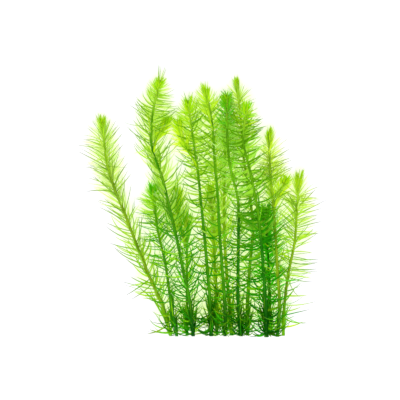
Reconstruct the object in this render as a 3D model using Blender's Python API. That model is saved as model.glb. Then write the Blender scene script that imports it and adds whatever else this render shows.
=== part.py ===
"""Stream bogmoss: a clump of leafy stems, cut off level and laid down on a flat surface.

The surface is the plane z = 0. The shoots point along +Y from their cut ends, and the clump is centred
on the Z axis. Fourteen shoots reach the cut, numbered from the left, and four of them carry a side shoot.
Each shoot is a thin stem, with its leaves round it as one solid: whorls of points that reach the leaf tips.
All lengths are in metres.
"""

import math
import random

import bpy
import numpy as np

MM = 0.001

# Stems: six-sided tubes that taper from the cut to the tip
SIDES = 6
SIDE_ANGLE = 2 * math.pi / SIDES
STEM_RADIUS_AT_CUT = 1.25 * MM
STEM_RADIUS_AT_TIP = 0.7 * MM
FULL_LENGTH = 150 * MM  # a shorter stem is thinner at its foot
STATION_STEP = 24 * MM  # between two rings of a stem
LEAST_SPANS = 3
SAMPLE_STEP = 2 * MM  # between two points of a route
LEAST_SAMPLES = 4
CURVE_STEPS = 12  # between two hand-picked points of a path
GAP = 0.3 * MM  # left between a stem and what touches it
EDGE_ANGLE = math.radians(65)  # a stem is shaded smooth round its sides and sharp at its ends
STEM_ROUGHNESS = 0.35

# Leaves: how far they reach out and forward, by their distance below the stem's tip
BELOW_TIP = np.array([0, 6, 12, 20, 32, 90, 150]) * MM
REACH_OUT = np.array([4.5, 8.0, 10.5, 12.5, 13.0, 13.0, 12.5]) * MM
REACH_FORWARD = np.array([8.5, 8.0, 7.5, 6.5, 5.5, 4.0, 3.0]) * MM
BUD_LENGTH = 9 * MM  # the brush of young leaves beyond the stem's tip
FLATNESS = 0.45  # a shoot out of the water is pressed to this share of its width
SLEEVE_WALL = 0.45 * MM  # the leaf bases round the stem
WHORL_STEP = 6.8 * MM
WHORL_TWIST = math.radians(22)  # each whorl is turned this way and the next one back
LEAF_VARIATION = (0.86, 1.08)  # of the reach
LEAF_TRIALS = 33  # lengths tried, until a leaf clears its neighbours
SHORTEST_LEAF = 0.2  # of the reach
LEAF_ROUGHNESS = 0.5
BARE_FOOT = 2 * MM  # stem without leaves above the cut
FORK_BARE = 12 * MM  # and along a side stem from its fork
FORK_CLEAR = (0.5 * MM, 7.5 * MM)  # the parent's leaves leave this out, below and above a fork

# Lying down: how close shoots settle beside and on top of each other
BESIDE = 0.35  # of the sum of the two reaches
ON_TOP = 0.68  # of the sum of the two half thicknesses
LEAST_HEIGHT = 2.3 * MM  # of a stem's axis at its tip
SETTLE_SPAN = 9 * MM  # a stem is too stiff to dip over less than this
EASE_SHARE = 0.7  # of a side stem's length, over which it comes from its fork's height to its own
NEIGHBOUR_SHARE = 0.8  # leaves stop at this share of the way to where the neighbour's begin

LIME = (0.36, 0.68, 0.05)
LEAF_GREEN = (0.15, 0.45, 0.03)
TEAL_GREEN = (0.02, 0.25, 0.07)
DARK_GREEN = (0.01, 0.11, 0.02)
OLIVE = (0.16, 0.20, 0.04)

SEED = 7

# The shoots in the order in which they are laid down, lowest first. A path runs from the cut, or from the
# fork on the parent's stem, to the stem's tip: millimetres to the right of the clump's middle line and
# from the cut. "reach" scales the leaves.
SHOOTS = {
    "01": {
        "path": [(-23.5, 0), (-27.5, 17), (-36, 36), (-42, 50), (-49, 68), (-55, 84), (-61, 99),
                 (-66, 112), (-69, 126), (-71, 148)],
        "reach": 1.05, "stem": OLIVE, "leaf": LIME,
    },
    "03": {
        "path": [(-12, 0), (-12, 32), (-12, 60), (-12.3, 83)],
        "reach": 0.9, "stem": LEAF_GREEN, "leaf": LEAF_GREEN,
    },
    "03_side": {
        "parent": "03",
        "path": [(-12, 64), (-15, 71), (-18, 83), (-18.8, 100)],
        "reach": 0.85, "stem": LIME, "leaf": LIME,
    },
    "06": {
        "path": [(9, 0), (9, 30), (7.5, 50), (6.5, 74), (4.7, 102)],
        "reach": 0.85, "stem": LEAF_GREEN, "leaf": LIME,
    },
    "08": {
        "path": [(19.5, 0), (17.5, 25), (15.5, 50), (14, 80), (14.5, 110), (14.5, 132), (14.7, 148)],
        "reach": 0.85, "stem": LEAF_GREEN, "leaf": LIME,
    },
    "10": {
        "path": [(30.6, 0), (30.8, 28), (32.4, 52), (34.5, 78), (33, 92), (30, 110), (27, 132),
                 (25.5, 155), (23.2, 176.5)],
        "reach": 0.95, "stem": LEAF_GREEN, "leaf": LEAF_GREEN,
    },
    "12": {
        "path": [(46.2, 0), (46, 32), (44.8, 57), (43.4, 87)],
        "reach": 0.85, "stem": TEAL_GREEN, "leaf": TEAL_GREEN,
    },
    "14": {
        "path": [(55.6, 0), (54.7, 8), (56.5, 22), (59, 42), (62, 56), (65, 75), (65.8, 84), (64, 95),
                 (66.6, 109)],
        "reach": 1.15, "stem": OLIVE, "leaf": LIME,
    },
    "02": {
        "path": [(-19, 0), (-20.5, 12), (-23.5, 26), (-26, 42), (-28, 55), (-32, 72), (-35, 87),
                 (-35.8, 102)],
        "reach": 0.9, "stem": TEAL_GREEN, "leaf": TEAL_GREEN,
    },
    "04": {
        "path": [(-7.5, 0), (-9, 18), (-12, 34), (-16, 52), (-19, 68), (-23, 85), (-27, 101),
                 (-30, 113), (-33, 124), (-37, 134), (-37.5, 146), (-35, 161), (-31.5, 177)],
        "reach": 1.0, "stem": LEAF_GREEN, "leaf": LEAF_GREEN,
    },
    "04_side": {
        "parent": "04",
        "path": [(-36.3, 132), (-32.5, 139), (-29, 145), (-26.5, 151)],
        "reach": 1.0, "stem": LIME, "leaf": LIME,
    },
    "05": {
        "path": [(5, 0), (4, 31), (2, 50), (0.5, 68), (-1.5, 88), (-4, 112), (-6.5, 132), (-9, 146),
                 (-11, 162.5)],
        "reach": 1.0, "stem": DARK_GREEN, "leaf": LEAF_GREEN,
    },
    "05_side": {
        "parent": "05",
        "path": [(-5.2, 122), (-10, 129), (-14.5, 137), (-17, 143), (-18, 149)],
        "reach": 1.0, "stem": LIME, "leaf": LIME,
    },
    "07": {
        "path": [(14.7, 0), (14.4, 28), (12.5, 50), (11, 70), (10, 92), (8.5, 111), (6.8, 131),
                 (5.8, 148), (3.8, 162), (1.8, 171)],
        "reach": 1.0, "stem": DARK_GREEN, "leaf": LEAF_GREEN,
    },
    "09": {
        "path": [(26, 0), (24, 18), (24, 54), (24.3, 85), (22.8, 104), (19, 116), (16, 131),
                 (16.5, 150), (16.4, 167)],
        "reach": 0.95, "stem": TEAL_GREEN, "leaf": TEAL_GREEN,
    },
    "13": {
        "path": [(51, 0), (52.5, 25), (51, 50), (49.5, 80), (47.5, 104), (46.2, 121), (45.8, 140.5)],
        "reach": 1.0, "stem": OLIVE, "leaf": LEAF_GREEN,
    },
    "13_side": {
        "parent": "13",
        "path": [(49, 88), (51.5, 96), (54.5, 103), (57, 109)],
        "reach": 1.0, "stem": LIME, "leaf": LIME,
    },
    "11": {
        "path": [(43.4, 0), (42.6, 30), (40.5, 58), (38, 84), (35, 102), (31, 120), (27.5, 136),
                 (28.7, 151), (30, 160)],
        "reach": 1.0, "stem": DARK_GREEN, "leaf": TEAL_GREEN,
    },
}


def clear_scene():
    for obj in list(bpy.data.objects):
        bpy.data.objects.remove(obj)


def curve_through(points):
    """Even points along a smooth (Catmull-Rom) curve through hand-picked points in the plane."""
    p = np.array(points) * MM
    p = np.vstack([2 * p[0] - p[1], p, 2 * p[-1] - p[-2]])
    t = np.linspace(0, 1, CURVE_STEPS, endpoint=False)[:, None]
    runs = []
    for a, b, c, d in zip(p, p[1:], p[2:], p[3:]):
        square = 2 * a - 5 * b + 4 * c - d
        cube = 3 * b - a - 3 * c + d
        runs.append(0.5 * (2 * b + (c - a) * t + square * t**2 + cube * t**3))
    dense = np.vstack(runs + [p[-2:-1]])
    along = lengths_along(dense)
    even = np.linspace(0, along[-1], max(LEAST_SAMPLES, round(along[-1] / SAMPLE_STEP)) + 1)
    return np.column_stack([np.interp(even, along, dense[:, i]) for i in range(2)])


def lengths_along(points):
    return np.concatenate([[0], np.cumsum(np.linalg.norm(np.diff(points, axis=0), axis=1))])


def reach_at(shoot, along):
    """How far the leaves of a shoot reach sideways, at distances along its stem."""
    return shoot["reach"] * np.interp(shoot["length"] - along, BELOW_TIP, REACH_OUT)


def over_a_span(values, span, kind):
    """The largest value, or the mean, of values over a span of samples to either side."""
    n = max(1, round(span / SAMPLE_STEP))
    padded = np.pad(values, n, mode="edge")
    windows = np.lib.stride_tricks.sliding_window_view(padded, 2 * n + 1)
    return windows.max(axis=1) if kind == "largest" else windows.mean(axis=1)


def lay_down(shoot, laid):
    """Gives a shoot its height along its path, over the surface and the shoots that already lie there."""
    flat, along = shoot["flat"], shoot["along"]
    reach = reach_at(shoot, along)
    thick = reach * FLATNESS
    height = np.maximum(LEAST_HEIGHT, thick * math.sin(SIDE_ANGLE))
    for other in laid:
        if other is shoot.get("parent_shoot"):
            continue
        their_reach = reach_at(other, other["along"])
        away = np.linalg.norm(flat[:, None] - other["flat"][None], axis=2)
        beside = BESIDE * (reach[:, None] + their_reach[None])
        lift = ON_TOP * (thick[:, None] + FLATNESS * their_reach[None])
        over = other["route"][None, :, 2] + lift * np.sqrt(np.clip(1 - (away / beside) ** 2, 0, None))
        height = np.maximum(height, np.where(away < beside, over, 0).max(axis=1))
    height = over_a_span(over_a_span(height, SETTLE_SPAN, "largest"), SETTLE_SPAN, "mean")
    if "parent_shoot" in shoot:
        away = np.clip(along / (EASE_SHARE * shoot["length"]), 0, 1)
        ease = away * away * (3 - 2 * away)
        height = shoot["fork_height"] * (1 - ease) + height * ease
    shoot["route"] = np.column_stack([flat, height])


def settle(shoots):
    """Lays the shoots down one after another, and finds where each side shoot leaves its parent."""
    laid = []
    for name, shoot in shoots.items():
        shoot["flat"] = curve_through(shoot["path"])
        shoot["along"] = lengths_along(shoot["flat"])
        shoot["length"] = shoot["along"][-1]
        if "parent" in shoot:
            parent = shoots[shoot["parent"]]
            nearest = int(np.argmin(np.linalg.norm(parent["flat"] - shoot["flat"][0], axis=1)))
            shift = parent["flat"][nearest] - shoot["flat"][0]
            shoot["flat"] += shift * np.linspace(1, 0, len(shoot["flat"]))[:, None]
            shoot["parent_shoot"] = parent
            shoot["fork_height"] = parent["route"][nearest, 2]
            parent["fork_at"] = parent["along"][nearest]
        lay_down(shoot, laid)
        laid.append(shoot)


def add_stations(shoot):
    """The stem's rings: for each its distance along the stem, centre, and side and up directions."""
    count = max(LEAST_SPANS, round(shoot["length"] / STATION_STEP)) + 1
    stations = np.linspace(0, shoot["length"], count)
    shoot["stations"] = stations
    centre = np.column_stack([np.interp(stations, shoot["along"], shoot["route"][:, i]) for i in range(3)])
    forward = np.gradient(centre, axis=0)
    forward /= np.linalg.norm(forward, axis=1)[:, None]
    side = np.cross(forward, (0, 0, 1))
    side /= np.linalg.norm(side, axis=1)[:, None]
    shoot["frames"] = np.stack([centre, side, np.cross(side, forward), forward], axis=1)
    if "parent" not in shoot:
        level_the_cut(shoot)


def level_the_cut(shoot):
    """The clump was cut straight across, so a stem's first ring stands upright in the plane y = 0."""
    centre = shoot["frames"][0, 0]
    shoot["frames"][0] = [centre, (1, 0, 0), (0, 0, 1), (0, 1, 0)]


def frame_at(shoot, along):
    """Centre, side, up and forward at a distance along the stem, straight between two stations."""
    flat = shoot["frames"].reshape(len(shoot["stations"]), 12)
    beyond = max(0.0, along - shoot["length"])
    frame = np.array([np.interp(along, shoot["stations"], flat[:, i]) for i in range(12)]).reshape(4, 3)
    frame[0] += frame[3] * beyond
    return frame


def stem_radius(shoot, along):
    """A long stem is thickest at the cut, and a side stem or a short one starts thinner."""
    share = min(1, shoot["length"] / FULL_LENGTH)
    foot = STEM_RADIUS_AT_TIP + (STEM_RADIUS_AT_CUT - STEM_RADIUS_AT_TIP) * share
    return float(np.interp(along, (0, shoot["length"]), (foot, STEM_RADIUS_AT_TIP)))


def ring(shoot, along, radius):
    centre, side, up, _ = frame_at(shoot, along)
    angles = [SIDE_ANGLE * (j + 0.5) for j in range(SIDES)]
    return [centre + radius * (math.cos(a) * side + math.sin(a) * up) for a in angles]


def mitre_the_foot(shoot, points):
    """Slides the first ring of a side stem along the stem, to lie flat along its parent's stem."""
    parent = shoot["parent_shoot"]
    centre, _, _, forward = frame_at(parent, parent["fork_at"])
    own = frame_at(shoot, 0)[3]
    outward = own - forward * own.dot(forward)
    outward /= np.linalg.norm(outward)
    clear = stem_radius(parent, parent["fork_at"]) + GAP
    return [p + own * ((clear - (p - centre).dot(outward)) / own.dot(outward)) for p in points]


def new_object(name, points, faces, colour, roughness):
    mesh = bpy.data.meshes.new(name)
    mesh.from_pydata([tuple(p) for p in points], [], faces)
    obj = bpy.data.objects.new(name, mesh)
    bpy.context.scene.collection.objects.link(obj)
    material = bpy.data.materials.new(name)
    material.use_nodes = True
    shader = material.node_tree.nodes["Principled BSDF"]
    shader.inputs["Base Color"].default_value = (*colour, 1)
    shader.inputs["Roughness"].default_value = roughness
    shader.inputs["Metallic"].default_value = 0
    mesh.materials.append(material)
    return obj


def bridge(first, second):
    """Quads between two rings, given by the index of each one's first point.

    They face away from the stem's axis if the second ring is further along the stem.
    """
    return [(first + j, second + j, second + (j + 1) % SIDES, first + (j + 1) % SIDES) for j in range(SIDES)]


def make_stem(name, shoot):
    points, faces = [], []
    for i, along in enumerate(shoot["stations"]):
        if i:
            faces += bridge(len(points) - SIDES, len(points))
        circle = ring(shoot, along, stem_radius(shoot, along))
        points += mitre_the_foot(shoot, circle) if i == 0 and "parent" in shoot else circle
    faces.append(tuple(range(SIDES)))
    faces.append(tuple(reversed(range(len(points) - SIDES, len(points)))))
    obj = new_object(f"stem_{name}", points, faces, shoot["stem"], STEM_ROUGHNESS)
    obj.data.shade_smooth()
    obj.data.set_sharp_from_angle(angle=EDGE_ANGLE)


def nearness(points, shoot):
    """Distance from each point to a shoot's route, in a space where a flattened shoot is round."""
    squash = np.array([1, 1, 1 / FLATNESS])
    away = points[:, None] * squash - shoot["route"][None] * squash
    return np.linalg.norm(away, axis=2).min(axis=1)


def leaf_tip(shoot, others, root, out, forward):
    """The tip of a leaf that reaches out from a root on the stem's axis, short of the neighbours' leaves."""
    shares = np.linspace(1, SHORTEST_LEAF, LEAF_TRIALS)
    tips = root + forward + shares[:, None] * out
    tips[:, 2] = np.clip(tips[:, 2], 0, None)
    own = nearness(tips, shoot)
    free = np.all([own <= NEIGHBOUR_SHARE * nearness(tips, other) for other in others], axis=0)
    return tips[int(np.argmax(free))] if free.any() else tips[-1]


def make_leaves(name, shoot, others, start, end, chance):
    """One solid round the stem from start to end, or over its tip with the bud if end is None."""
    closed = end is None
    end = shoot["length"] + GAP + SLEEVE_WALL if closed else end
    bore_end = shoot["length"] + GAP if closed else end
    points, faces = [], []

    stops = [start, *[s for s in shoot["stations"] if start + GAP < s < bore_end - GAP], bore_end]
    for i, along in enumerate(stops):
        if i:
            faces += bridge(len(points), len(points) - SIDES)
        points += ring(shoot, along, stem_radius(shoot, along) + GAP)
    bore_top = len(points) - SIDES

    whorls = max(1, round((end - start) / WHORL_STEP))
    edges = np.linspace(start, end, whorls + 1)
    skin = len(points)
    for along in edges:
        points += ring(shoot, along, stem_radius(shoot, along) + GAP + SLEEVE_WALL)
    faces += bridge(0, skin)
    for k, (low, high) in enumerate(zip(edges, edges[1:])):
        middle = (low + high) / 2
        centre, side, up, ahead = frame_at(shoot, middle)
        below_tip = shoot["length"] - middle
        reach = shoot["reach"] * np.interp(below_tip, BELOW_TIP, REACH_OUT)
        lean = np.interp(below_tip, BELOW_TIP, REACH_FORWARD)
        twist = WHORL_TWIST if k % 2 else -WHORL_TWIST
        for j, (a, b, c, d) in enumerate(bridge(skin + k * SIDES, skin + (k + 1) * SIDES)):
            angle = SIDE_ANGLE * (j + 1) + twist
            size = reach * chance.uniform(*LEAF_VARIATION)
            out = size * (math.cos(angle) * side + FLATNESS * math.sin(angle) * up)
            points.append(leaf_tip(shoot, others, centre, out, lean * ahead))
            tip = len(points) - 1
            faces += [(a, b, tip), (b, c, tip), (c, d, tip), (d, a, tip)]

    skin_top = skin + whorls * SIDES
    if closed:
        centre, _, _, ahead = frame_at(shoot, end)
        points.append(centre + (BUD_LENGTH - SLEEVE_WALL) * ahead)
        faces += [(skin_top + j, len(points) - 1, skin_top + (j + 1) % SIDES) for j in range(SIDES)]
        faces.append(tuple(range(bore_top, bore_top + SIDES)))
    else:
        faces += bridge(skin_top, bore_top)
    new_object(f"leaves_{name}", points, faces, shoot["leaf"], LEAF_ROUGHNESS)


def make_shoot(name, shoot, others, chance):
    add_stations(shoot)
    make_stem(name, shoot)
    start = FORK_BARE if "parent" in shoot else BARE_FOOT
    if "fork_at" in shoot:
        below, above = FORK_CLEAR
        make_leaves(f"{name}_low", shoot, others, start, shoot["fork_at"] - below, chance)
        make_leaves(f"{name}_top", shoot, others, shoot["fork_at"] + above, None, chance)
    else:
        make_leaves(name, shoot, others, start, None, chance)


def centre_on_origin():
    """Moves the whole clump so that its box stands on z = 0, centred on the Z axis."""
    corners = np.array([v.co for obj in bpy.data.objects for v in obj.data.vertices])
    low, high = corners.min(axis=0), corners.max(axis=0)
    shift = np.array([-(low[0] + high[0]) / 2, -(low[1] + high[1]) / 2, -low[2]])
    for obj in bpy.data.objects:
        obj.location = shift


def main():
    clear_scene()
    settle(SHOOTS)
    chance = random.Random(SEED)
    for name, shoot in SHOOTS.items():
        others = [other for other in SHOOTS.values() if other is not shoot]
        make_shoot(name, shoot, others, chance)
    centre_on_origin()
    triangles = sum(len(p.vertices) - 2 for obj in bpy.data.objects for p in obj.data.polygons)
    print(f"{len(bpy.data.objects)} objects, {triangles} triangles")


main()
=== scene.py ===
# Stream bogmoss: a cut clump of leafy stems, laid on a light table and seen from straight above.
# Every stem and every leaf is real geometry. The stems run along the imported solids.

import math

import bpy
import numpy as np
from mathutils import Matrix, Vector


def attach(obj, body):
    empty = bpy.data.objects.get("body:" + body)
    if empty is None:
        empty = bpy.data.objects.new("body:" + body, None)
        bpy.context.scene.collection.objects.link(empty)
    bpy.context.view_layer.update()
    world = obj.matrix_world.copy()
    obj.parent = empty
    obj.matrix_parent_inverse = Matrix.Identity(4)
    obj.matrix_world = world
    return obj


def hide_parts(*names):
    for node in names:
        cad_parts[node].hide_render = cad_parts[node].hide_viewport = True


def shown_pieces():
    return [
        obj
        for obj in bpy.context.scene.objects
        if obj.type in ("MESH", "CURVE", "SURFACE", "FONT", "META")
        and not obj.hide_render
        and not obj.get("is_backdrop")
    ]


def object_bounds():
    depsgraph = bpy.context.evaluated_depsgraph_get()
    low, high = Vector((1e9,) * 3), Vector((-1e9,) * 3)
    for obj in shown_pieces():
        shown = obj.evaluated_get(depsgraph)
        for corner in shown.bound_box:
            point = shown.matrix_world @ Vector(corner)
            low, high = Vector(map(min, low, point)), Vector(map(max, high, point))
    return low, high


mm = 0.001

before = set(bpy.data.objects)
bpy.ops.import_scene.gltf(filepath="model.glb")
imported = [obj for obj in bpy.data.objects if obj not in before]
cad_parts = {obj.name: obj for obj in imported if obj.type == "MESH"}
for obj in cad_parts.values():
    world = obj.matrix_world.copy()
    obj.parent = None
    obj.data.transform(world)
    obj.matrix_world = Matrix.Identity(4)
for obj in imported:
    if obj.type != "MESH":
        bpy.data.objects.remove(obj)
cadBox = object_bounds()
cutLine = cadBox[0].y  # the stems are cut off straight across here
print("frame loaded:", len(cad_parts), "solids")


# Colours, as they look on screen (0 to 255). The leaves' ones are those of one leaf with light behind it.
palette = {
    "yellowLime": (230, 246, 44),
    "lime": (212, 238, 30),
    "leafGreen": (194, 232, 18),
    "brightGreen": (164, 226, 12),
    "grassGreen": (116, 216, 10),
    "deepGreen": (50, 220, 2),
    "blackGreen": (10, 96, 2),
    "limeBud": (202, 234, 20),
    "softLime": (198, 226, 58),
    "headStem": (160, 208, 40),
    "oldGreen": (92, 200, 10),
    "oldOlive": (130, 196, 14),
    "oldDark": (44, 144, 4),
    "limeStem": (150, 196, 20),
    "leafStem": (104, 170, 8),
    "greenStem": (66, 144, 4),
    "darkStem": (34, 122, 4),
    "blackStem": (6, 76, 0),
    "streak": (2, 64, 2),
    "olive": (128, 166, 20),
    "darkOlive": (112, 164, 14),
    "midLeaf": (104, 164, 8),
    "darkLeaf": (36, 144, 0),
    "greyOlive": (104, 140, 44),
    "paleLime": (212, 238, 126),
    "whiteLime": (236, 249, 202),
    "tan": (150, 146, 40),
}


def linear(name):
    shares = [v / 255 for v in palette[name]]
    return [v / 12.92 if v <= 0.04045 else ((v + 0.055) / 1.055) ** 2.4 for v in shares] + [1.0]


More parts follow.
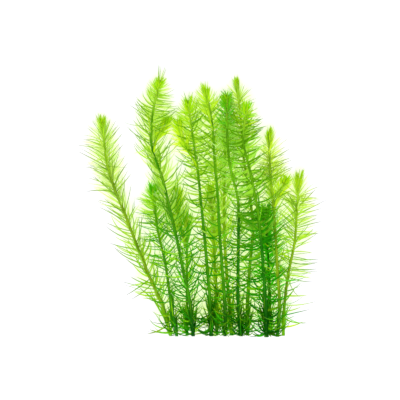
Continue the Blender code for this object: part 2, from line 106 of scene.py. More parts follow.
# The colours at the cut, of leaves and stems alike, are partly their own older green and partly painted
# shade of the crowded foot.
# The shoots, numbered from the left at the cut.
# "leaf" gives the colours of the bud, the young, the grown and the old leaves, and of the ones at the cut.
# "stem" gives three colours from the tip to the cut, and "darkStem" where the second one comes in, in mm
# below the tip.
# "left" and "right" are the leaves' angles from the stem in degrees, at four heights from the tip down.
# "curl" bends the ends of either side outward, in degrees, and "reach" is how long the leaves of each are.
# "bud" is the closed bud's length in mm, how far it opens and how ruffled it is.
# "density" is how many leaves there are, and "foot" how many more at the cut.
# "line" is how dark midribs, points and dark leaves are, and "dark" their colour, low down and near the tip.
# "pale" is how whitish the leaves of the under side are.
# A shoot may also have its own of any value in usualShoot.
shoots = {
    "01": {
        "leaf": ("limeBud", "softLime", "softLime", "oldOlive", "oldOlive"),
        "stem": ("limeStem", "olive", "leafStem"), "darkStem": (20, 45),
        "left": (62, 58, 48, 54), "right": (56, 48, 42, 50), "curl": (10, -10), "reach": (1.15, 1.0),
        "bud": (9, 1.5, 1.0), "density": 1.18, "line": 0.75, "dark": ("darkOlive", "greyOlive"),
        "pale": 1.0, "foot": 0.15, "spikes": (2, 9, 8), "hazeShare": (0.9, 0.97),
        "crowd": (1, 1.1, 1.6, 1.9), "drawn": (0.8, 0.5),
    },
    "02": {
        "leaf": ("grassGreen", "leafGreen", "leafGreen", "oldGreen", "blackGreen"),
        "stem": ("leafStem", "greenStem", "darkStem"), "darkStem": (25, 60),
        "left": (80, 77, 74, 72), "right": (66, 63, 60, 68), "curl": (-30, 0), "reach": (1.0, 0.95),
        "bud": (4, 2.2, 1.8), "density": 0.85, "line": 0.8, "dark": ("darkLeaf", "midLeaf"),
        "pale": 0.3, "foot": 0.8, "head": (0, 1.0, 1.3), "crowd": (1.35, 0.85, 0.75, 0.8),
    },
    "03": {
        "leaf": ("limeBud", "lime", "leafGreen", "oldGreen", "oldGreen"),
        "stem": ("leafStem", "leafStem", "darkStem"), "darkStem": (30, 60),
        "left": (36, 39, 42, 64), "right": (36, 39, 42, 64), "curl": (0, 0), "reach": (0.95, 0.95),
        "bud": (4, 1.2, 1.0), "density": 0.78, "line": 0.3, "dark": ("darkLeaf", "darkOlive"),
        "pale": 0.3, "foot": 0.8, "hazeShare": (0.9, 0.97),
    },
    "03_side": {
        "leaf": ("yellowLime", "lime", "lime", "lime", "oldGreen"),
        "stem": ("limeStem", "leafStem", "leafStem"), "darkStem": (30, 60),
        "left": (40, 40, 40, 40), "right": (40, 40, 40, 40), "curl": (0, 0), "reach": (0.9, 0.9),
        "bud": (4, 1.5, 1.0), "density": 1.2, "line": 0.3, "dark": ("darkOlive", "darkOlive"),
        "pale": 0.2, "foot": 1.0, "hazeShare": (0.9, 0.97),
    },
    "04": {
        "leaf": ("limeBud", "softLime", "leafGreen", "oldGreen", "blackGreen"),
        "stem": ("leafStem", "greenStem", "blackStem"), "darkStem": (20, 60),
        "left": (70, 42, 34, 68), "right": (94, 68, 52, 72), "curl": (-40, -24), "reach": (1.05, 1.2),
        "bud": (3, 3.0, 1.0), "density": 1.25, "line": 0.9, "dark": ("darkLeaf", "darkOlive"),
        "pale": 0.7, "foot": 0.6, "spikes": (6, 15, 13), "head": (-10, 0.75, 1.05),
        "crowd": (1, 1.35, 1.55, 1.2), "drawn": (0.85, 0.65),
    },
    "04_side": {
        "leaf": ("limeBud", "yellowLime", "yellowLime", "lime", "lime"),
        "stem": ("leafGreen", "limeStem", "leafStem"), "darkStem": (30, 60),
        "left": (34, 31, 28, 24), "right": (34, 31, 28, 24), "curl": (6, 6), "reach": (0.85, 0.85),
        "bud": (2, 2.4, 2.5), "density": 1.5, "line": 0.05, "dark": ("darkOlive", "darkOlive"),
        "pale": 0.1, "foot": 1.0,
    },
    "05": {
        "leaf": ("limeBud", "lime", "leafGreen", "oldDark", "blackGreen"),
        "stem": ("leafStem", "greenStem", "blackStem"), "darkStem": (40, 75),
        "left": (58, 72, 80, 82), "right": (64, 84, 90, 84), "curl": (-36, -56), "reach": (0.9, 1.1),
        "bud": (3, 1.6, 1.5), "density": 0.95, "line": 0.95, "dark": ("darkLeaf", "midLeaf"),
        "pale": 0.3, "foot": 1.5, "spikes": (4, 11, 26), "broad": 1.25,
        "hazeShare": (0.3, 0.7), "drawn": (0.85, 0.7),
    },
    "05_side": {
        "leaf": ("limeBud", "yellowLime", "yellowLime", "lime", "lime"),
        "stem": ("leafGreen", "limeStem", "leafStem"), "darkStem": (30, 60),
        "left": (34, 31, 28, 24), "right": (34, 31, 28, 24), "curl": (6, 6), "reach": (0.85, 0.85),
        "bud": (2, 2.4, 2.5), "density": 1.1, "line": 0.05, "dark": ("darkOlive", "darkOlive"),
        "pale": 0.1, "foot": 1.0,
    },
    "06": {
        "leaf": ("yellowLime", "yellowLime", "lime", "leafGreen", "oldDark"),
        "stem": ("limeStem", "leafStem", "greenStem"), "darkStem": (30, 60),
        "left": (34, 36, 38, 60), "right": (34, 36, 38, 60), "curl": (0, 0), "reach": (0.9, 0.9),
        "bud": (4, 1.4, 1.0), "density": 1.25, "line": 0.4, "dark": ("darkOlive", "darkOlive"),
        "pale": 0.2, "foot": 0.6, "hazeShare": (0.9, 0.97),
    },
    "07": {
        "leaf": ("limeBud", "yellowLime", "leafGreen", "oldGreen", "oldDark"),
        "stem": ("leafStem", "greenStem", "blackStem"), "darkStem": (45, 80),
        "left": (56, 62, 66, 78), "right": (58, 56, 54, 68), "curl": (-20, -40), "reach": (1.1, 0.8),
        "bud": (5, 1.5, 1.5), "density": 0.85, "line": 0.9, "dark": ("darkLeaf", "midLeaf"),
        "pale": 0.3, "foot": 1.0, "spikes": (3, 10, 14), "broad": 1.2,
    },
    "08": {
        "leaf": ("yellowLime", "yellowLime", "lime", "leafGreen", "oldDark"),
        "stem": ("limeStem", "limeStem", "greenStem"), "darkStem": (30, 60),
        "left": (26, 26, 26, 56), "right": (26, 26, 26, 56), "curl": (0, 0), "reach": (1.1, 1.1),
        "bud": (4, 1.3, 1.0), "density": 0.65, "line": 0.25, "dark": ("darkOlive", "darkOlive"),
        "pale": 0.7, "foot": 0.6, "hazeShare": (0.9, 0.97), "drawn": (0.5, 0.25),
    },
    "09": {
        "leaf": ("leafGreen", "grassGreen", "brightGreen", "oldDark", "blackGreen"),
        "stem": ("leafStem", "darkStem", "blackStem"), "darkStem": (70, 95),
        "left": (72, 66, 58, 76), "right": (72, 66, 58, 76), "curl": (-30, -30), "reach": (0.88, 0.75),
        "bud": (9, 4.4, 6.0), "density": 1.3, "line": 0.9, "dark": ("darkLeaf", "midLeaf"),
        "pale": 0.3, "foot": 1.4, "tones": 0.5, "head": (-14, 0.85, 2.2), "spikes": (14, 8, 42),
        "crowd": (0.9, 0.7, 1.4, 1.3),
    },
    "10": {
        "leaf": ("limeBud", "softLime", "softLime", "oldGreen", "oldDark"),
        "stem": ("limeStem", "leafStem", "greenStem"), "darkStem": (70, 120),
        "left": (62, 60, 54, 74), "right": (62, 60, 54, 74), "curl": (0, 10), "reach": (0.9, 0.9),
        "bud": (8, 0.7, 1.0), "density": 1.0, "line": 0.7, "dark": ("darkOlive", "greyOlive"),
        "pale": 0.6, "foot": 0.8, "spikes": (2, 9, 8), "hazeShare": (0.9, 0.97),
    },
    "11": {
        "leaf": ("limeBud", "lime", "brightGreen", "oldDark", "blackGreen"),
        "stem": ("leafStem", "darkStem", "blackStem"), "darkStem": (60, 100),
        "left": (76, 92, 96, 90), "right": (86, 76, 68, 82), "curl": (-64, -28), "reach": (1.1, 1.0),
        "bud": (3, 2.5, 2.5), "density": 0.95, "line": 1.0, "dark": ("darkLeaf", "midLeaf"),
        "pale": 0.15, "foot": 0.8, "head": (-20, 0.85, 1.3), "broad": 1.5, "tones": 0.45,
        "crowd": (0.75, 1.3, 1.9, 1.2), "hazeShare": (0.3, 0.6), "drawn": (0.9, 0.8),
    },
    "12": {
        "leaf": ("grassGreen", "grassGreen", "deepGreen", "oldGreen", "blackGreen"),
        "stem": ("darkStem", "darkStem", "blackStem"), "darkStem": (5, 20),
        "left": (56, 58, 60, 76), "right": (56, 58, 60, 76), "curl": (0, 0), "reach": (1.05, 1.05),
        "bud": (4, 2.0, 1.0), "density": 1.3, "line": 0.2, "dark": ("deepGreen", "deepGreen"),
        "pale": 0.0, "foot": 0.7, "hazeShare": (0.9, 0.8), "tones": 0.0,
        "crowd": (1.4, 0.9, 0.7, 0.7),
    },
    "13": {
        "leaf": ("limeBud", "yellowLime", "lime", "oldGreen", "oldDark"),
        "stem": ("limeStem", "olive", "darkStem"), "darkStem": (25, 70),
        "left": (62, 62, 62, 74), "right": (60, 54, 50, 72), "curl": (0, 0), "reach": (0.7, 1.0),
        "bud": (8, 1.6, 1.0), "density": 1.1, "line": 0.65, "dark": ("darkLeaf", "greyOlive"),
        "pale": 0.5, "foot": 0.2, "spikes": (2, 8.5, 8),
        "crowd": (1, 1, 0.6, 0.65), "drawn": (0.7, 0.6), "hazeShare": (0.0, 0.9),
    },
    "13_side": {
        "leaf": ("limeBud", "yellowLime", "yellowLime", "lime", "lime"),
        "stem": ("leafGreen", "limeStem", "leafStem"), "darkStem": (30, 60),
        "left": (34, 31, 28, 24), "right": (34, 31, 28, 24), "curl": (4, 4), "reach": (0.85, 0.85),
        "bud": (2, 2.4, 2.5), "density": 1.2, "line": 0.05, "dark": ("darkOlive", "darkOlive"),
        "pale": 0.1, "foot": 1.0,
    },
    "14": {
        "leaf": ("limeBud", "yellowLime", "lime", "oldOlive", "oldGreen"),
        "stem": ("limeStem", "olive", "leafStem"), "darkStem": (25, 60),
        "left": (62, 66, 68, 70), "right": (66, 74, 80, 86), "curl": (0, -14), "reach": (1.0, 1.15),
        "bud": (9, 1.9, 1.5), "density": 1.15, "line": 0.7, "dark": ("darkOlive", "greyOlive"),
        "pale": 0.75, "foot": 0.1, "spikes": (3, 9.5, 16), "hazeShare": (0.7, 0.97),
        "crowd": (1, 0.85, 0.65, 0.65),
    },
}
usualShoot = {
    "spikes": (0, 0, 0),  # single leaves above the bud: how many, mm long, and degrees from the stem
    "head": (0.0, 1.0, 1.0),  # extra curl, length and number of the ruffled leaves below the bud
    "crowd": (1, 1, 1, 1),  # how many leaves there are at the heights of "crowdAt"
    "hazeShare": (0.2, 0.97),  # of the leaves on the under side, which are pale and broader
    "drawn": (0.85, 0.45),  # share of the other leaves that are dark all over
    "broad": 1.0,  # how wide the leaves are
    "tones": 0.2,  # how much darker the darkest leaves are
}
parents = {"03_side": "03", "04_side": "04", "05_side": "05", "13_side": "13"}
leafSolids = {"03": ("03_low", "03_top"), "04": ("04_low", "04_top"), "05": ("05_low", "05_top"),
              "13": ("13_low", "13_top")}

leafLook = {
    "angleAt": (14, 35, 65, 130),  # mm below the tip, for a shoot's own four angles
    "budAngle": (9, 14),  # inside a closed bud and at its end
    "budOpening": 3.5,  # mm, from the end of the bud to the first spread leaves
    "headLength": 25 * mm,  # of the ruffled leaves
    "belowTip": (0, 4, 7, 12, 25, 60, 100, 190),  # mm, where the values with eight numbers hold
    "curl": (-8, -4, 6, 10, 6, -4, -30, -48),  # degrees, outward along the leaf
    "length": (6.5, 9.5, 12.0, 14.5, 16.0, 17.5, 19.0, 20.0),  # mm
    "crowdAt": (30, 60, 100, 150),  # mm below the tip, where a shoot may have more or fewer leaves
    "spacing": (0.11, 0.13, 0.19, 0.32, 0.45, 0.63, 1.32, 2.3),  # mm of stem for each leaf
    "hazeAt": (30, 110),  # mm above the cut, for the shares of pale and of dark leaves
    "hazeWidth": (1.3, 2.0),  # of the pale leaves there, times the usual width
    "hazeLength": 0.8,
    "hazeSide": 0.05,  # how far round to the upper side they stand
    "disorder": (0.3, 0.3, 0.5, 0.8, 1.0, 1.1, 1.5, 1.9),  # times the usual variation of direction
    "footDensity": 9.5,  # times more leaves at the cut
    "footHeight": 22 * mm,
    "hugShare": 0.5,  # of the leaves at the cut, which lie against the stem
    "hugAngle": (10.0, 5.0),  # degrees, and how much it varies
    # their darkness is partly painted shade of the crowded foot
    "hugTone": 0.5,  # from 0 to 1, how dark they are
    "footSpread": (16.0, 42.0),  # degrees, of the others at the cut
    "footShort": 0.2,  # how much shorter those are
    "hugShort": 0.6,  # of that, for the ones against the stem
    "width": (0.5, 0.56, 0.62, 0.66, 0.68, 0.72, 0.84, 0.92),  # mm
    "profile": (0.75, 1.0, 0.97, 0.84, 0.64, 0.4),  # of the width along the leaf, before its point
    "fold": 0.35,  # how far the margins stand up from the midrib, for each mm beside it
    "rollLimit": 65.0,  # degrees that the blades are turned from lying flat, at most
    "angleSpread": 7.0,  # degrees, from leaf to leaf
    "waveSpread": 10.0,  # degrees, of whole tufts on a side
    "waveStep": 6 * mm,
    "curlSpread": 12.0,
    "strayShare": 0.14,
    "strayAngle": 30.0,
    "lengthSpread": 0.14,
    "clumpSpread": 0.36,  # how unevenly the leaves stand along the stem
    "sidewaysSpread": 15.0,  # degrees
    "flatness": 0.45,  # of the height that the leaves would have in water
    "towardsSides": 0.5,  # how far the flattened leaves fall to the left and right
    "sag": 0.12,  # of its length that a leaf's point hangs down
    "spikeTone": 14.0,  # mm below the tip, where leaves have the colours of the single ones above the bud
    "spikeSpread": (0.85, 1.0),  # of their length
    "turnStep": 137.5,  # degrees round the stem, from one leaf to the next
    "turnSpread": 0.25,  # radians
    "grownAt": 12 * mm,  # below the tip, where tufts and bends reach their full size
    "clumpAt": 40 * mm,  # and where the leaves stand as unevenly as they ever do
    "curlFrom": 0.3,  # of a leaf's length, where the curl doesn't change its angle
    "widthSpread": 0.08,
    "rootDepth": 0.5,  # of the stem's radius, where a leaf begins
    "floorGap": 0.02 * mm,
    "cellMargin": 0.02,  # round each leaf in the texture layout
    "restHeight": 0.35 * mm,  # of a leaf's middle when it lies on the surface
    "bareFoot": 0.3 * mm,
    "bareFork": 3.0 * mm,
}

stemLook = {
    "step": 1.2 * mm,
    "sides": 12,
    "ridges": 5,
    "ridgeDepth": 0.05,  # of the radius
    "knotDepth": 0.04,
    "knotTurn": 2.4,  # radians from one ring to the next
    "solidSides": 6,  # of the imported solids
    "curveSteps": 24,  # between two of their rings
    "pointRings": 3,
    "pointLength": 3.0 * mm,  # beyond the solid's last ring, inside the bud
    "pointRadius": 0.25 * mm,
    "forkOverlap": 5.0 * mm,  # a side stem starts this far down inside its parent's
}


# Lines along the stems
def ringCentres(name):
    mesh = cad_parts[f"stem_{name}"].data
    corners = np.unique(np.round([v.co for v in mesh.vertices], 5), axis=0)
    rings = corners[np.argsort(corners[:, 1])].reshape(-1, stemLook["solidSides"], 3)
    centres = rings.mean(axis=1)
    radii = np.linalg.norm(rings - centres[:, None], axis=2).mean(axis=1)
    return centres, radii


def smoothLine(points, step):
    p = np.vstack([2 * points[0] - points[1], points, 2 * points[-1] - points[-2]])
    t = np.linspace(0, 1, stemLook["curveSteps"], endpoint=False)[:, None]
    runs = []
    for a, b, c, d in zip(p, p[1:], p[2:], p[3:]):
        runs.append(0.5 * (2 * b + (c - a) * t + (2 * a - 5 * b + 4 * c - d) * t**2
                           + (3 * b - a - 3 * c + d) * t**3))
    dense = np.vstack(runs + [p[-2:-1]])
    along = np.concatenate([[0], np.cumsum(np.linalg.norm(np.diff(dense, axis=0), axis=1))])
    even = np.linspace(0, along[-1], round(along[-1] / step) + 1)
    return np.column_stack([np.interp(even, along, dense[:, i]) for i in range(3)]), even


def unit(vectors):
    return vectors / np.linalg.norm(vectors, axis=-1, keepdims=True)


def stemLine(name, parentLine=None):
    centres, radii = ringCentres(name)
    if parentLine is not None:
        away = np.linalg.norm(parentLine["points"] - centres[0], axis=1)
        fork = parentLine["along"][int(np.argmin(away))]
        start = np.array([np.interp(fork - stemLook["forkOverlap"], parentLine["along"],
                                    parentLine["points"][:, i]) for i in range(3)])
        centres = np.vstack([start, centres[1:]])
        radii[0] = radii[1]
    points, along = smoothLine(centres, stemLook["step"])
    marks = np.concatenate([[0], np.cumsum(np.linalg.norm(np.diff(centres, axis=0), axis=1))])
    radius = np.interp(along, marks * along[-1] / marks[-1], radii)
    forward = unit(np.gradient(points, axis=0))
    side = unit(np.cross(forward, (0, 0, 1)))
    return {
        "points": points, "along": along, "radius": radius, "length": along[-1],
        "forward": forward, "side": side, "up": np.cross(side, forward),
    }


def placeOn(line, key, along):
    return np.column_stack([np.interp(along, line["along"], line[key][:, i]) for i in range(3)])


# Meshes
def newPiece(name, points, faces, attributes, material, uvs=None):
    mesh = bpy.data.meshes.new(name)
    mesh.from_pydata(points.tolist(), [], faces)
    for key, values in attributes.items():
        mesh.attributes.new(key, "FLOAT", "POINT").data.foreach_set("value", values.astype(np.float32))
    if uvs is not None:
        mesh.uv_layers.new(name="OFBake").data.foreach_set("uv", uvs.astype(np.float32).ravel())
    mesh.materials.append(material)
    mesh.shade_smooth()
    piece = bpy.data.objects.new(name, mesh)
    bpy.context.scene.collection.objects.link(piece)
    return piece


def makeStem(name, line, material, chance):
    look = stemLook
    extra = look["pointRings"]
    point = np.linspace(0, 1, extra + 1)[1:]
    tip = line["points"][-1] + np.outer(point * look["pointLength"], line["forward"][-1])
    centres = np.vstack([line["points"], tip])
    radius = np.concatenate([line["radius"], line["radius"][-1] * (1 - point) + look["pointRadius"] * point])
    side = np.vstack([line["side"], np.repeat(line["side"][-1:], extra, axis=0)])
    up = np.vstack([line["up"], np.repeat(line["up"][-1:], extra, axis=0)])
    if name not in parents:
        side[0], up[0] = (1, 0, 0), (0, 0, 1)
        centres[0, 1] = cutLine
    turns = np.arange(look["sides"]) * 2 * math.pi / look["sides"]
    phase = chance.uniform(0, 6.28)
    knots = np.arange(len(centres))[:, None] * look["knotTurn"]
    knots = 1 + look["knotDepth"] * np.sin(knots + turns * 2 + phase)
    ridges = 1 + look["ridgeDepth"] * np.cos(look["ridges"] * turns + phase)
    reach = radius[:, None] * ridges * knots
    points = (centres[:, None] + reach[..., None] * (np.cos(turns)[None, :, None] * side[:, None]
                                                     + np.sin(turns)[None, :, None] * up[:, None]))
    if name not in parents:
        points[0, :, 1] = cutLine
    sides, rings = look["sides"], len(centres)
    faces = []
    for i in range(rings - 1):
        for j in range(sides):
            k = (j + 1) % sides
            faces.append((i * sides + j, i * sides + sides + j, i * sides + sides + k, i * sides + k))
    faces.append(tuple(range(sides)))
    faces.append(tuple(reversed(range((rings - 1) * sides, rings * sides))))
    ridden = np.concatenate([line["along"], np.repeat(line["length"], extra)])
    belowTip = np.repeat((line["length"] - ridden) / mm, sides)
    aboveCut = np.repeat((centres[:, 1] - cutLine) / mm, sides)
    return newPiece(f"shootStem{name}", points.reshape(-1, 3), faces,
                    {"belowTip": belowTip, "aboveCut": aboveCut}, material)


def wave(along, chance, spread):
    knots = np.arange(0, along.max() + 2 * leafLook["waveStep"], leafLook["waveStep"])
    return np.interp(along, knots, chance.normal(0, spread, len(knots)))


def leafStarts(line, name, shoot, chance):
    look = leafLook
    isSide = name in parents
    start = look["bareFork"] + stemLook["forkOverlap"] if isSide else look["bareFoot"]
    below, spots = 0.0, []
    crowding = shoot["head"][2]
    clumps = np.exp(wave(line["along"], chance, look["clumpSpread"]))
    while below < line["length"] - start:
        spots.append(below)
        nearFoot = 0 if isSide else max(0, 1 - (line["length"] - below) / look["footHeight"])
        grown = min(below / look["clumpAt"], 1)
        clump = 1 + grown * (np.interp(below, line["along"], clumps) - 1)
        closer = shoot["density"] * np.interp(below / mm, look["crowdAt"], shoot["crowd"])
        closer *= clump * (1 + look["footDensity"] * shoot["foot"] * nearFoot**2)
        closer *= 1 + (crowding - 1) * max(0, 1 - below / look["headLength"])
        below += np.interp(below / mm, look["belowTip"], look["spacing"]) * mm / closer
    return np.array(spots)


def endAtCut(path):  # a leaf that would cross the cut is shortened to end there
    lower = int(np.argmax(path[:, 1] < cutLine))
    upper = max(lower - 1, 0)
    drop = path[upper, 1] - path[lower, 1]
    stop = upper + (path[upper, 1] - cutLine) / drop if drop > 0 else 0.0
    steps = np.arange(len(path))
    return np.column_stack([np.interp(steps * stop / steps[-1], steps, path[:, i]) for i in range(3)])


def makeLeaves(name, shoot, line, material, chance):
    look = leafLook
    spikes, spikeLength, spikeAngle = shoot["spikes"]
    below = np.concatenate([np.zeros(spikes), leafStarts(line, name, shoot, chance)])
    n = len(below)
    along = line["length"] - below
    byTip = lambda key: np.interp(below / mm, look["belowTip"], look[key])
    turn = np.arange(n) * math.radians(look["turnStep"]) + chance.normal(0, look["turnSpread"], n)
    turn = turn - look["towardsSides"] / 2 * np.sin(2 * turn)
    turn[:spikes] = np.linspace(math.pi, 0, spikes)
    rightness = (1 + np.cos(turn)) / 2
    between = lambda pair: pair[0] * (1 - rightness) + pair[1] * rightness
    grown = np.clip(below / look["grownAt"], 0, 1)
    nearFoot = np.clip(1 - along / look["footHeight"], 0, 1) * (name not in parents)
    budLength, opening, ruffle = shoot["bud"]
    inHead = 1 - np.clip(below / look["headLength"], 0, 1)
    headCurl, headReach, _ = shoot["head"]
    wild = byTip("disorder") * (1 + (ruffle - 1) * inHead)
    bud = [a * opening for a in look["budAngle"]]
    angleAt = (0, budLength, budLength + look["budOpening"], *look["angleAt"])
    sides = [np.interp(below / mm, angleAt, bud + [a[0], *a]) for a in (shoot["left"], shoot["right"])]
    tufts = [wave(along, chance, look["waveSpread"]) * grown for _ in range(2)]
    strays = (chance.uniform(0, 1, n) < look["strayShare"]) * chance.normal(0, look["strayAngle"], n)
    angle = between(sides) + between(tufts) + nearFoot * chance.normal(*look["footSpread"], n)
    angle += wild * (strays + chance.normal(0, look["angleSpread"], n))
    bends = [wave(along, chance, look["curlSpread"]) for _ in range(2)]
    curl = byTip("curl") + (between(shoot["curl"]) + between(bends)) * grown + headCurl * inHead
    curl += wild * chance.normal(0, look["curlSpread"], n)
    hugs = chance.uniform(0, 1, n) < look["hugShare"] * np.sqrt(nearFoot)
    angle = np.where(hugs, chance.normal(*look["hugAngle"], n), angle)
    curl = np.where(hugs, 0, curl)
    length = byTip("length") * mm * between(shoot["reach"])
    length *= 1 + chance.normal(0, look["lengthSpread"], n)
    length *= headReach * inHead + 1 - inHead
    fromCut = (placeOn(line, "points", along)[:, 1] - cutLine) / mm
    hazeWidth = np.interp(fromCut, look["hazeAt"], look["hazeWidth"])
    hazeShare = np.interp(fromCut, look["hazeAt"], shoot["hazeShare"])
    haze = (chance.uniform(0, 1, n) < hazeShare) & (np.sin(turn) < look["hazeSide"])
    haze[:spikes] = False
    drawnShare = np.interp(fromCut, look["hazeAt"], shoot["drawn"])
    drawn = (chance.uniform(0, 1, n) < drawnShare) & ~haze
    length *= 1 - look["footShort"] * np.where(hugs, look["hugShort"], 1) * nearFoot
    length[:spikes] = spikeLength * mm * chance.uniform(*look["spikeSpread"], spikes)
    angle[:spikes] = spikeAngle
    curl[:spikes] = 0
    length *= np.where(haze, 1 - (1 - look["hazeLength"]) * grown, 1)
    width = byTip("width") * mm / 2 * (1 + chance.normal(0, look["widthSpread"], n))
    width *= np.where(haze, hazeWidth, 1)
    width *= 1 + (shoot["broad"] - 1) * grown

    side, up, forward = (placeOn(line, key, along) for key in ("side", "up", "forward"))
    root = placeOn(line, "points", along)
    out = np.cos(turn)[:, None] * side + (look["flatness"] * np.sin(turn))[:, None] * up
    root += look["rootDepth"] * np.interp(along, line["along"], line["radius"])[:, None] * out
    drift = np.radians(wild * chance.normal(0, look["sidewaysSpread"], n))

    steps = len(look["profile"]) + 1
    t = (np.arange(steps - 1) + 0.5) / (steps - 1)
    bent = np.radians(angle[:, None] + curl[:, None] * (t[None] - look["curlFrom"]))
    across = unit(np.cross(forward, out))
    way = (np.cos(bent)[..., None] * forward[:, None] + np.sin(bent)[..., None] * out[:, None]
           + (np.sin(drift)[:, None] * t[None])[..., None] * across[:, None])
    way = unit(way)
    strides = way * (length / (steps - 1))[:, None, None]
    points = root[:, None] + np.concatenate([np.zeros((n, 1, 3)), np.cumsum(strides, axis=1)], axis=1)
    share = np.linspace(0, 1, steps)
    points[..., 2] -= look["sag"] * length[:, None] * share[None] ** 2
    points[..., 2] = np.clip(points[..., 2], look["restHeight"], cadBox[1].z)
    for leaf in np.nonzero(points[..., 1].min(axis=1) < cutLine)[0]:
        points[leaf] = endAtCut(points[leaf])

    # a blade is folded along its midrib: margin, midrib and margin at each step but the last, its point
    heading = unit(np.gradient(points, axis=1))
    roll = np.radians(chance.uniform(-look["rollLimit"], look["rollLimit"], n))[:, None, None]
    level = unit(np.cross(heading, (0, 0, 1)))
    flat = np.cos(roll) * level + np.sin(roll) * np.cross(level, heading)
    raised = look["fold"] * np.cross(flat, heading)
    half = (width[:, None] * np.array(look["profile"])[None])[..., None]
    middle = points[:, :-1]
    corners = np.stack([middle + half * (flat + raised)[:, :-1], middle,
                        middle + half * (raised - flat)[:, :-1]], axis=2)
    corners[..., 1] = np.maximum(corners[..., 1], cutLine)
    corners[..., 2] = np.maximum(corners[..., 2], look["floorGap"])
    rings = steps - 1
    each = rings * 3 + 1
    cloud = np.concatenate([corners.reshape(n, -1, 3), points[:, -1:]], axis=1)

    pattern, cells = [], []
    for i in range(rings - 1):
        for j in range(2):
            pattern.append((i * 3 + j, i * 3 + j + 1, i * 3 + j + 4, i * 3 + j + 3))
            cells.append(((j, i), (j + 1, i), (j + 1, i + 1), (j, i + 1)))
    for j in range(2):
        pattern.append(((rings - 1) * 3 + j, (rings - 1) * 3 + j + 1, rings * 3))
        cells.append(((j, rings - 1), (j + 1, rings - 1), (1, rings)))
    faces = []
    for leaf in range(n):
        first = leaf * each
        faces += [tuple(first + c for c in face) for face in pattern]
    columns = math.ceil(math.sqrt(n))
    cell = np.array([c for face in cells for c in face]) / (2, rings)
    place = np.column_stack([np.arange(n) % columns, np.arange(n) // columns])
    margin = look["cellMargin"]
    uvs = (place[:, None] + cell[None] * (1 - 2 * margin) + margin) / columns

    perLeaf = lambda values: np.repeat(values, each)
    leafShare = np.tile(np.concatenate([np.repeat(share[:-1], 3), [1.0]]), n)
    toneBelow = np.where(np.arange(n) < spikes, look["spikeTone"], below / mm)
    attributes = {
        "belowTip": perLeaf(toneBelow), "aboveCut": perLeaf(fromCut), "alongLeaf": leafShare,
        "chance": perLeaf(np.where(hugs, look["hugTone"], chance.uniform(0, 1, n))),
        "tone": perLeaf(chance.uniform(0, 1, n)),
        # how far each blade stands on edge, which sets its painted shade
        "edgeOnShade": perLeaf(np.abs(np.sin(roll))[:, 0, 0]),
        "haze": perLeaf(haze.astype(float)), "drawn": perLeaf(drawn.astype(float)),
        "rib": np.tile(np.concatenate([np.tile([0.0, 1.0, 0.0], rings), [1.0]]), n),
    }
    return newPiece(f"shootLeaves{name}", cloud.reshape(-1, 3), faces, attributes, material, uvs)


# Materials
def newMaterial(name):
    material = bpy.data.materials.new(name)
    material.use_nodes = True
    nodes = material.node_tree.nodes
    nodes.clear()
    return material, nodes, material.node_tree.links


def attribute(nodes, name):
    node = nodes.new("ShaderNodeAttribute")
    node.attribute_name = name
    return node.outputs["Fac"]


def fade(nodes, links, value, start, end):
    node = nodes.new("ShaderNodeMapRange")
    node.interpolation_type = "SMOOTHSTEP"
    node.inputs["From Min"].default_value = start
    node.inputs["From Max"].default_value = end
    links.new(value, node.inputs["Value"])
    return node.outputs["Result"]


def scaled(nodes, links, first, second):
    node = nodes.new("ShaderNodeMath")
    node.operation = "MULTIPLY"
    links.new(first, node.inputs[0])
    links.new(second, node.inputs[1])
    return node.outputs["Value"]


def mixColours(nodes, links, share, first, second):
    node = nodes.new("ShaderNodeMix")
    node.data_type = "RGBA"
    for key, value in (("Factor", share), ("A", first), ("B", second)):
        if isinstance(value, (float, list)):
            node.inputs[key].default_value = value
        else:
            links.new(value, node.inputs[key])
    return node.outputs["Result"]


def spread(nodes, links, value, low, high):
    node = nodes.new("ShaderNodeMapRange")
    node.inputs["To Min"].default_value = low
    node.inputs["To Max"].default_value = high
    links.new(value, node.inputs["Value"])
    return node.outputs["Result"]


def noise(nodes, links, scale, detail=3.0, stretch=(1, 1, 1)):
    place = nodes.new("ShaderNodeTexCoord").outputs["Object"]
    mapping = nodes.new("ShaderNodeMapping")
    mapping.inputs["Scale"].default_value = stretch
    links.new(place, mapping.inputs["Vector"])
    node = nodes.new("ShaderNodeTexNoise")
    node.inputs["Scale"].default_value = scale
    node.inputs["Detail"].default_value = detail
    links.new(mapping.outputs["Vector"], node.inputs["Vector"])
    return node.outputs["Fac"]


def plantShader(nodes, links, colour, pattern, paint):  # some light is reflected and some passes through
    shader = nodes.new("ShaderNodeBsdfPrincipled")
    links.new(colour, shader.inputs["Base Color"])
    links.new(spread(nodes, links, pattern, *paint["roughness"]), shader.inputs["Roughness"])
    shader.inputs["Specular IOR Level"].default_value = paint["gloss"]
    glow = nodes.new("ShaderNodeBsdfTranslucent")
    links.new(colour, glow.inputs["Color"])
    mixed = nodes.new("ShaderNodeMixShader")
    mixed.inputs["Fac"].default_value = paint["through"]
    links.new(shader.outputs["BSDF"], mixed.inputs[1])
    links.new(glow.outputs["BSDF"], mixed.inputs[2])
    out = nodes.new("ShaderNodeOutputMaterial")
    links.new(mixed.outputs["Shader"], out.inputs["Surface"])
    return shader


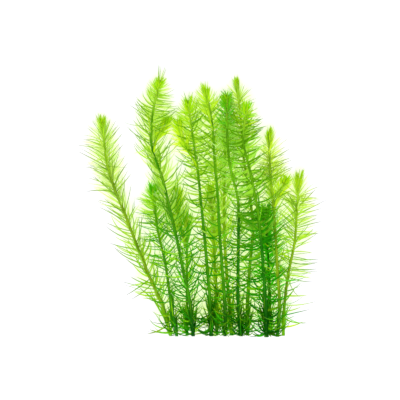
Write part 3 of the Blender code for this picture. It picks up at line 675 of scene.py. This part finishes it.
# Pairs are where something begins and where it is complete. In a name "Below" means mm below the tip,
# "Above" mm above the cut, "Along" a share of the leaf's length, and "Luck" a number from 0 to 1 that each
# leaf has.
leafPaint = {
    "youngBelow": (2, 9),
    "grownBelow": (10, 45),
    "oldAbove": (115, 55),
    "oldLuck": (0.0, 0.25),
    # darkening at the cut: partly the old leaves' own colour, partly painted shade of the crowded foot
    "footAgeAndShadeAbove": (30, 8),
    "footAgeAndShadeLuck": (0.2, 0.6),
    "deadAbove": (110, 20),
    "deadLuck": (0.84, 0.92),
    "mottleScale": 700.0,
    "mottleRange": (0.35, 0.7),
    "mottleDepth": 0.1,
    "toneLuck": (0.3, 0.9),
    "baseAlong": (0.6, 0.1),
    "baseBelow": (5, 14),
    "baseAbove": (20, 60),
    "basePale": 0.6,
    "ribAcross": (0.15, 0.75),
    "ribBelow": (4, 22),
    # painted shade on blades that stand on edge
    "edgeShadeRange": (0.2, 0.9),
    "edgeShadeBelow": (4, 18),
    "lowAbove": (120, 60),  # where the second dark colour takes over from the first
    "drawnBelow": (3, 16),
    "faint": 0.4,  # how much of "line" the midribs of leaves that aren't dark have
    "pointExtra": 0.15,  # how much more than "line" the points have
    "pointLeast": 0.35,  # and the share of it near the tip
    "pointBelow": (3, 12),
    "pointAlong": (0.45, 0.95),
    "hazeBelow": (1, 6),
    "hazeAbove": (0, 25),
    "hazeInner": (0.1, 0.7),  # how pale it is, and how much "pale" adds
    "hazeOuter": (0.15, 0.85),
    "hazeLow": 0.5,
    "hazeLowAbove": (120, 50),
    "hazeAlong": (0.1, 0.8),
    "roughness": (0.35, 0.6),
    "gloss": 0.04,
    "through": 0.6,
}


def leafMaterial(name, shoot):
    material, nodes, links = newMaterial(f"leaf {name}")
    paint = leafPaint
    bud, young, grown, old, foot = (linear(c) for c in shoot["leaf"])
    lowDark, highDark = (linear(c) for c in shoot["dark"])
    below, above = attribute(nodes, "belowTip"), attribute(nodes, "aboveCut")
    luck, along = attribute(nodes, "chance"), attribute(nodes, "alongLeaf")

    def at(value, key):
        return fade(nodes, links, value, *paint[key])

    def mix(share, first, second):
        return mixColours(nodes, links, share, first, second)

    def both(first, second):
        return scaled(nodes, links, first, second)

    colour = mix(at(below, "youngBelow"), bud, young)
    colour = mix(at(below, "grownBelow"), colour, grown)
    # old leaves differ: some stay pale and some are dark
    colour = mix(at(above, "oldAbove"), colour, mix(at(luck, "oldLuck"), grown, old))
    # at the cut the leaves go towards the foot colour, partly their own older green and partly painted shade
    colour = mix(at(above, "footAgeAndShadeAbove"), colour, mix(at(luck, "footAgeAndShadeLuck"), colour, foot))
    # a few of the old leaves have died back to tan
    colour = mix(both(at(luck, "deadLuck"), at(above, "deadAbove")), colour, linear("tan"))
    mottle = at(noise(nodes, links, paint["mottleScale"]), "mottleRange")
    colour = mix(mottle, colour, mix(paint["mottleDepth"], colour, linear("deepGreen")))
    # some whole leaves are darker
    shade = mix(shoot["tones"], colour, linear("deepGreen"))
    colour = mix(at(attribute(nodes, "tone"), "toneLuck"), colour, shade)
    # the bases of leaves are paler, except at the bud and the cut
    base = both(both(at(along, "baseAlong"), at(below, "baseBelow")), at(above, "baseAbove"))
    colour = mix(base, colour, mix(paint["basePale"] * shoot["pale"], colour, linear("paleLime")))
    # the midribs of grown leaves are darker, and blades that stand on edge get painted shade, as if seen
    # dark through their width
    most = nodes.new("ShaderNodeMath")
    most.operation = "MAXIMUM"
    links.new(both(at(attribute(nodes, "rib"), "ribAcross"), at(below, "ribBelow")), most.inputs[0])
    links.new(both(at(attribute(nodes, "edgeOnShade"), "edgeShadeRange"), at(below, "edgeShadeBelow")), most.inputs[1])
    tone = mix(at(above, "lowAbove"), highDark, lowDark)
    # the dark tone goes the same way at the cut, partly painted shade
    tone = mix(at(above, "footAgeAndShadeAbove"), tone, mix(at(luck, "footAgeAndShadeLuck"), tone, foot))
    faint = mix(paint["faint"] * shoot["line"], colour, tone)
    dark = mix(shoot["line"], colour, tone)
    colour = mix(most.outputs["Value"], colour, faint)
    colour = mix(both(attribute(nodes, "drawn"), at(below, "drawnBelow")), colour, dark)
    # so are the points
    point = mix(min(1.0, shoot["line"] + paint["pointExtra"]), colour, highDark)
    pointed = spread(nodes, links, at(below, "pointBelow"), paint["pointLeast"], 1.0)
    colour = mix(both(pointed, at(along, "pointAlong")), colour, point)
    # some leaves are pale all along
    haze = both(both(attribute(nodes, "haze"), at(below, "hazeBelow")), at(above, "hazeAbove"))
    paleness = [paint[key][0] + paint[key][1] * shoot["pale"] for key in ("hazeInner", "hazeOuter")]
    inner = mix(paleness[0], grown, linear("paleLime"))
    outer = mix(paleness[1], grown, linear("whiteLime"))
    lowHaze = at(above, "hazeLowAbove")
    inner = mix(lowHaze, inner, mix(paint["hazeLow"], grown, old))
    outer = mix(lowHaze, outer, inner)
    colour = mix(haze, colour, mix(at(along, "hazeAlong"), inner, outer))
    plantShader(nodes, links, colour, mottle, paint)
    return material


stemPaint = {
    "youngBelow": (6, 24),
    # where the stems take their colour at the cut: partly their own older green, partly painted shade of the
    # crowded foot
    "footAgeAndShadeAbove": (38, 4),
    "streakScale": 500.0,
    "streakDetail": 4.0,
    "streakStretch": (1, 0.15, 1),
    "streakRange": (0.4, 0.65),
    "streakDepth": 0.4,
    "speckScale": 1400.0,
    "speckDetail": 1.0,
    "speckRange": (0.72, 0.76),
    "bumpHeight": 0.2 * mm,
    "bumpStrength": 0.4,
    "roughness": (0.3, 0.5),
    "gloss": 0.06,
    "through": 0.3,
}


def stemMaterial(name, shoot):
    material, nodes, links = newMaterial(f"stem {name}")
    paint = stemPaint
    tip, middle, foot = (linear(c) for c in shoot["stem"])
    below, above = attribute(nodes, "belowTip"), attribute(nodes, "aboveCut")
    young = fade(nodes, links, below, *paint["youngBelow"])
    colour = mixColours(nodes, links, young, linear("headStem"), tip)
    colour = mixColours(nodes, links, fade(nodes, links, below, *shoot["darkStem"]), colour, middle)
    # darker at the cut, partly painted shade
    colour = mixColours(nodes, links, fade(nodes, links, above, *paint["footAgeAndShadeAbove"]), colour, foot)
    streaks = noise(nodes, links, paint["streakScale"], paint["streakDetail"], paint["streakStretch"])
    streaks = fade(nodes, links, streaks, *paint["streakRange"])
    darker = mixColours(nodes, links, paint["streakDepth"], colour, linear("streak"))
    colour = mixColours(nodes, links, streaks, colour, darker)
    specks = noise(nodes, links, paint["speckScale"], paint["speckDetail"])
    specks = fade(nodes, links, specks, *paint["speckRange"])
    colour = mixColours(nodes, links, specks, colour, linear("darkOlive"))
    shader = plantShader(nodes, links, colour, streaks, paint)
    bump = nodes.new("ShaderNodeBump")
    bump.inputs["Distance"].default_value = paint["bumpHeight"]
    bump.inputs["Strength"].default_value = paint["bumpStrength"]
    links.new(streaks, bump.inputs["Height"])
    links.new(bump.outputs["Normal"], shader.inputs["Normal"])
    return material


# The plant
seeds = {"first": 100, "side": 50}  # each shoot has its own
lines = {}
for name in shoots:
    shoot = {**usualShoot, **shoots[name]}
    lines[name] = stemLine(name, lines.get(parents.get(name)))
    chance = np.random.default_rng(seeds["first"] + int(name[:2]) + seeds["side"] * (name in parents))
    stem = makeStem(name, lines[name], stemMaterial(name, shoot), chance)
    leaves = makeLeaves(name, shoot, lines[name], leafMaterial(name, shoot), chance)
    for piece, kind in ((stem, "stem"), (leaves, "leaves")):
        nodes = leafSolids.get(name, (name,)) if kind == "leaves" else (name,)
        solids = [f"{kind}_{n}" for n in nodes]
        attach(piece, "root")
        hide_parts(*solids)
triangles = sum(len(p.vertices) - 2 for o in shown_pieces() for p in o.data.polygons)
print("shoots made:", len(lines), "stems,", triangles, "triangles")


# The light table, the sky and a soft lamp in front of the cut
lightTable = {
    "size": 8.0,
    "glow": (0.72, 1.0, 0.26),
    "colour": (0.23, 0.05, 0.52),  # with the sky's light on it, the bare table comes out white
    "sky": 1.5,
    "lampPower": 4.0,
    "lampSize": 0.3,
    "lampPlace": (0, -0.6, 0.45),
    "lampTilt": 48,  # degrees from straight down
}


def makeTable():
    mesh = bpy.data.meshes.new("table")
    s = lightTable["size"] / 2
    mesh.from_pydata([(-s, -s, 0), (s, -s, 0), (s, s, 0), (-s, s, 0)], [], [(0, 1, 2, 3)])
    table = bpy.data.objects.new("table", mesh)
    bpy.context.scene.collection.objects.link(table)
    material, nodes, links = newMaterial("table")
    shader = nodes.new("ShaderNodeBsdfDiffuse")
    shader.inputs["Color"].default_value = (*lightTable["colour"], 1)
    glow = nodes.new("ShaderNodeEmission")
    glow.inputs["Color"].default_value = (*lightTable["glow"], 1)
    glow.inputs["Strength"].default_value = 1.0
    both = nodes.new("ShaderNodeAddShader")
    links.new(shader.outputs["BSDF"], both.inputs[0])
    links.new(glow.outputs["Emission"], both.inputs[1])
    out = nodes.new("ShaderNodeOutputMaterial")
    links.new(both.outputs["Shader"], out.inputs["Surface"])
    mesh.materials.append(material)
    table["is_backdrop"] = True


def makeSky():
    world = bpy.data.worlds.new("sky")
    world.use_nodes = True
    background = world.node_tree.nodes["Background"]
    background.inputs["Color"].default_value = (1, 1, 1, 1)
    background.inputs["Strength"].default_value = lightTable["sky"]
    bpy.context.scene.world = world


def makeLamp():
    data = bpy.data.lights.new("softLamp", "AREA")
    data.shape = "DISK"
    data.size = lightTable["lampSize"]
    data.energy = lightTable["lampPower"]
    lamp = bpy.data.objects.new("softLamp", data)
    lamp.location = lightTable["lampPlace"]
    lamp.rotation_euler = (math.radians(lightTable["lampTilt"]), 0, 0)
    bpy.context.scene.collection.objects.link(lamp)


makeTable()
makeSky()
makeLamp()
print("stage made")


# The camera looks straight down. Its frame is fitted with the cut line and the fifth stem's foot.
view = {
    "lens": 150.0,
    "sensor": 36.0,
    "frameWidth": 280 * mm,
    "footToMiddle": 7.8 * mm,
    "cutToMiddle": 95.2 * mm,
    "plantHeight": 9 * mm,
}


def makeCamera():
    data = bpy.data.cameras.new("camera")
    data.lens = view["lens"]
    data.sensor_width = view["sensor"]
    camera = bpy.data.objects.new("camera", data)
    foot = lines["05"]["points"][0]
    away = view["frameWidth"] * view["lens"] / view["sensor"]
    camera.location = (foot[0] - view["footToMiddle"], cutLine + view["cutToMiddle"],
                       view["plantHeight"] + away)
    data.clip_end = 100
    bpy.context.scene.collection.objects.link(camera)
    bpy.context.scene.camera = camera


makeCamera()
bpy.context.scene.view_settings.view_transform = "Standard"
print("camera made")
